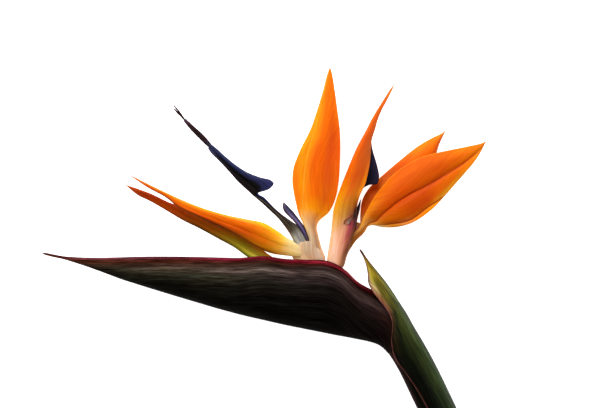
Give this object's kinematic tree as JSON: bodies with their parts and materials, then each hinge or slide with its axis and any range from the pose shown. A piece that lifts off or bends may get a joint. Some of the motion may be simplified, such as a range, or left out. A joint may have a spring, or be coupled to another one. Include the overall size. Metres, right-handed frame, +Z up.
{
  "type": "bird of paradise flower",
  "caption": "Cut bird of paradise flower head lying on its side, with a boat-shaped spathe, orange sepals, blue tongues and a short sheathed stem.",
  "frame": {"origin": "middle of the whole flower's box, at the surface it lies on", "axes": "+X from the spathe's tip towards the stem, +Y from the stem's cut end towards the sepals' tips, +Z up from the surface it lies on"},
  "size_m": [0.228, 0.222, 0.0261],
  "materials": {
    "peduncle_green": "smooth waxy dark green stalk skin",
    "bract_green": "smooth waxy green with fine lengthwise veins",
    "spathe_skin": "waxy dark maroon-grey with crimson margins and fine lengthwise fibres",
    "cream_base": "pale cream flesh, slightly translucent",
    "salmon_base": "salmon-pink flesh, slightly translucent",
    "sepal_orange": "satin orange petal with fine veins and yellow edges",
    "sepal_orange_green": "satin brown-orange petal with a green lower edge",
    "tongue_blue": "matt blue-violet petal with near-black folds",
    "small_petal_blue": "matt dark blue petal with a lilac midline",
    "style_brown": "matt dark brown thread"
  },
  "bodies": {
    "root": {"front_floret_base": "cream_base", "front_lower_sepal": "sepal_orange_green", "front_small_petal": "small_petal_blue", "front_style": "style_brown", "front_tongue": "tongue_blue", "front_upper_sepal": "sepal_orange", "front_upright_sepal": "sepal_orange", "rear_far_sepal": "sepal_orange", "rear_floret_base": "salmon_base", "rear_narrow_sepal": "sepal_orange", "rear_near_sepal": "sepal_orange", "rear_small_petal": "small_petal_blue", "rear_style": "style_brown", "rear_tongue": "tongue_blue", "sheath_bract": "bract_green", "spathe": "spathe_skin", "stem": "peduncle_green"}
  },
  "joints": []
}
